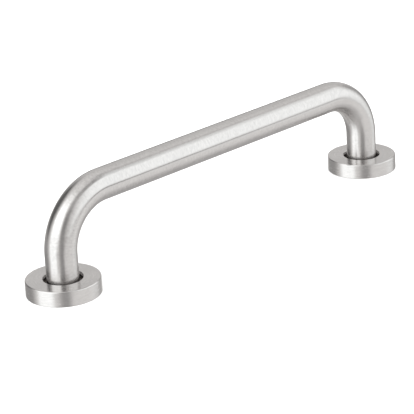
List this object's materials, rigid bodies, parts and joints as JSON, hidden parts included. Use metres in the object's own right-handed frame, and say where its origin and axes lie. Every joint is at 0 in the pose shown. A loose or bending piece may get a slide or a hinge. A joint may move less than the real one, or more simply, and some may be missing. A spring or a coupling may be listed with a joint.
{
  "type": "grab rail",
  "caption": "D-shaped grab rail: a bent round tube on two screwed flanges, each hidden by a round cover rose that lifts and turns.",
  "frame": {"origin": "midway between the two bases, on the surface that the rail is screwed to; the screws reach below it", "axes": "+X along the bar towards the right base, +Z away from the mounting surface, along the legs"},
  "size_m": [0.351, 0.051, 0.0961],
  "materials": {
    "tube_steel": "satin stainless, polished with fine lines round the tube",
    "cover_steel": "satin stainless, with fine turned lines on the top and side",
    "flange_steel": "unpolished mill finish, with faint weld colours round the tube",
    "screw_steel": "plain stainless",
    "gasket_rubber": "matt black",
    "o_ring_rubber": "smooth black"
  },
  "bodies": {
    "rail": {"rail_tube": "tube_steel", "left_mounting_flange": "flange_steel", "left_deck_gasket": "gasket_rubber", "left_fixing_screw_1": "screw_steel", "left_fixing_screw_2": "screw_steel", "left_fixing_screw_3": "screw_steel", "right_mounting_flange": "flange_steel", "right_deck_gasket": "gasket_rubber", "right_fixing_screw_1": "screw_steel", "right_fixing_screw_2": "screw_steel", "right_fixing_screw_3": "screw_steel"},
    "left_o_ring": {"left_retaining_o_ring": "o_ring_rubber"},
    "left_cover": {"left_cover_rose": "cover_steel"},
    "right_o_ring": {"right_retaining_o_ring": "o_ring_rubber"},
    "right_cover": {"right_cover_rose": "cover_steel"}
  },
  "joints": [
    {"name": "left_cover_lift", "type": "slide", "parent": "rail", "child": "left_o_ring", "axis": [0, 0, 1], "range_m": [0, 0.0265]},
    {"name": "left_cover_turn", "type": "hinge", "parent": "left_o_ring", "child": "left_cover", "pos_m": [-0.15, 0, 0.0033], "axis": [0, 0, 1], "continuous": true},
    {"name": "right_cover_lift", "type": "slide", "parent": "rail", "child": "right_o_ring", "axis": [0, 0, 1], "range_m": [0, 0.0265]},
    {"name": "right_cover_turn", "type": "hinge", "parent": "right_o_ring", "child": "right_cover", "pos_m": [0.15, 0, 0.0033], "axis": [0, 0, 1], "continuous": true}
  ]
}
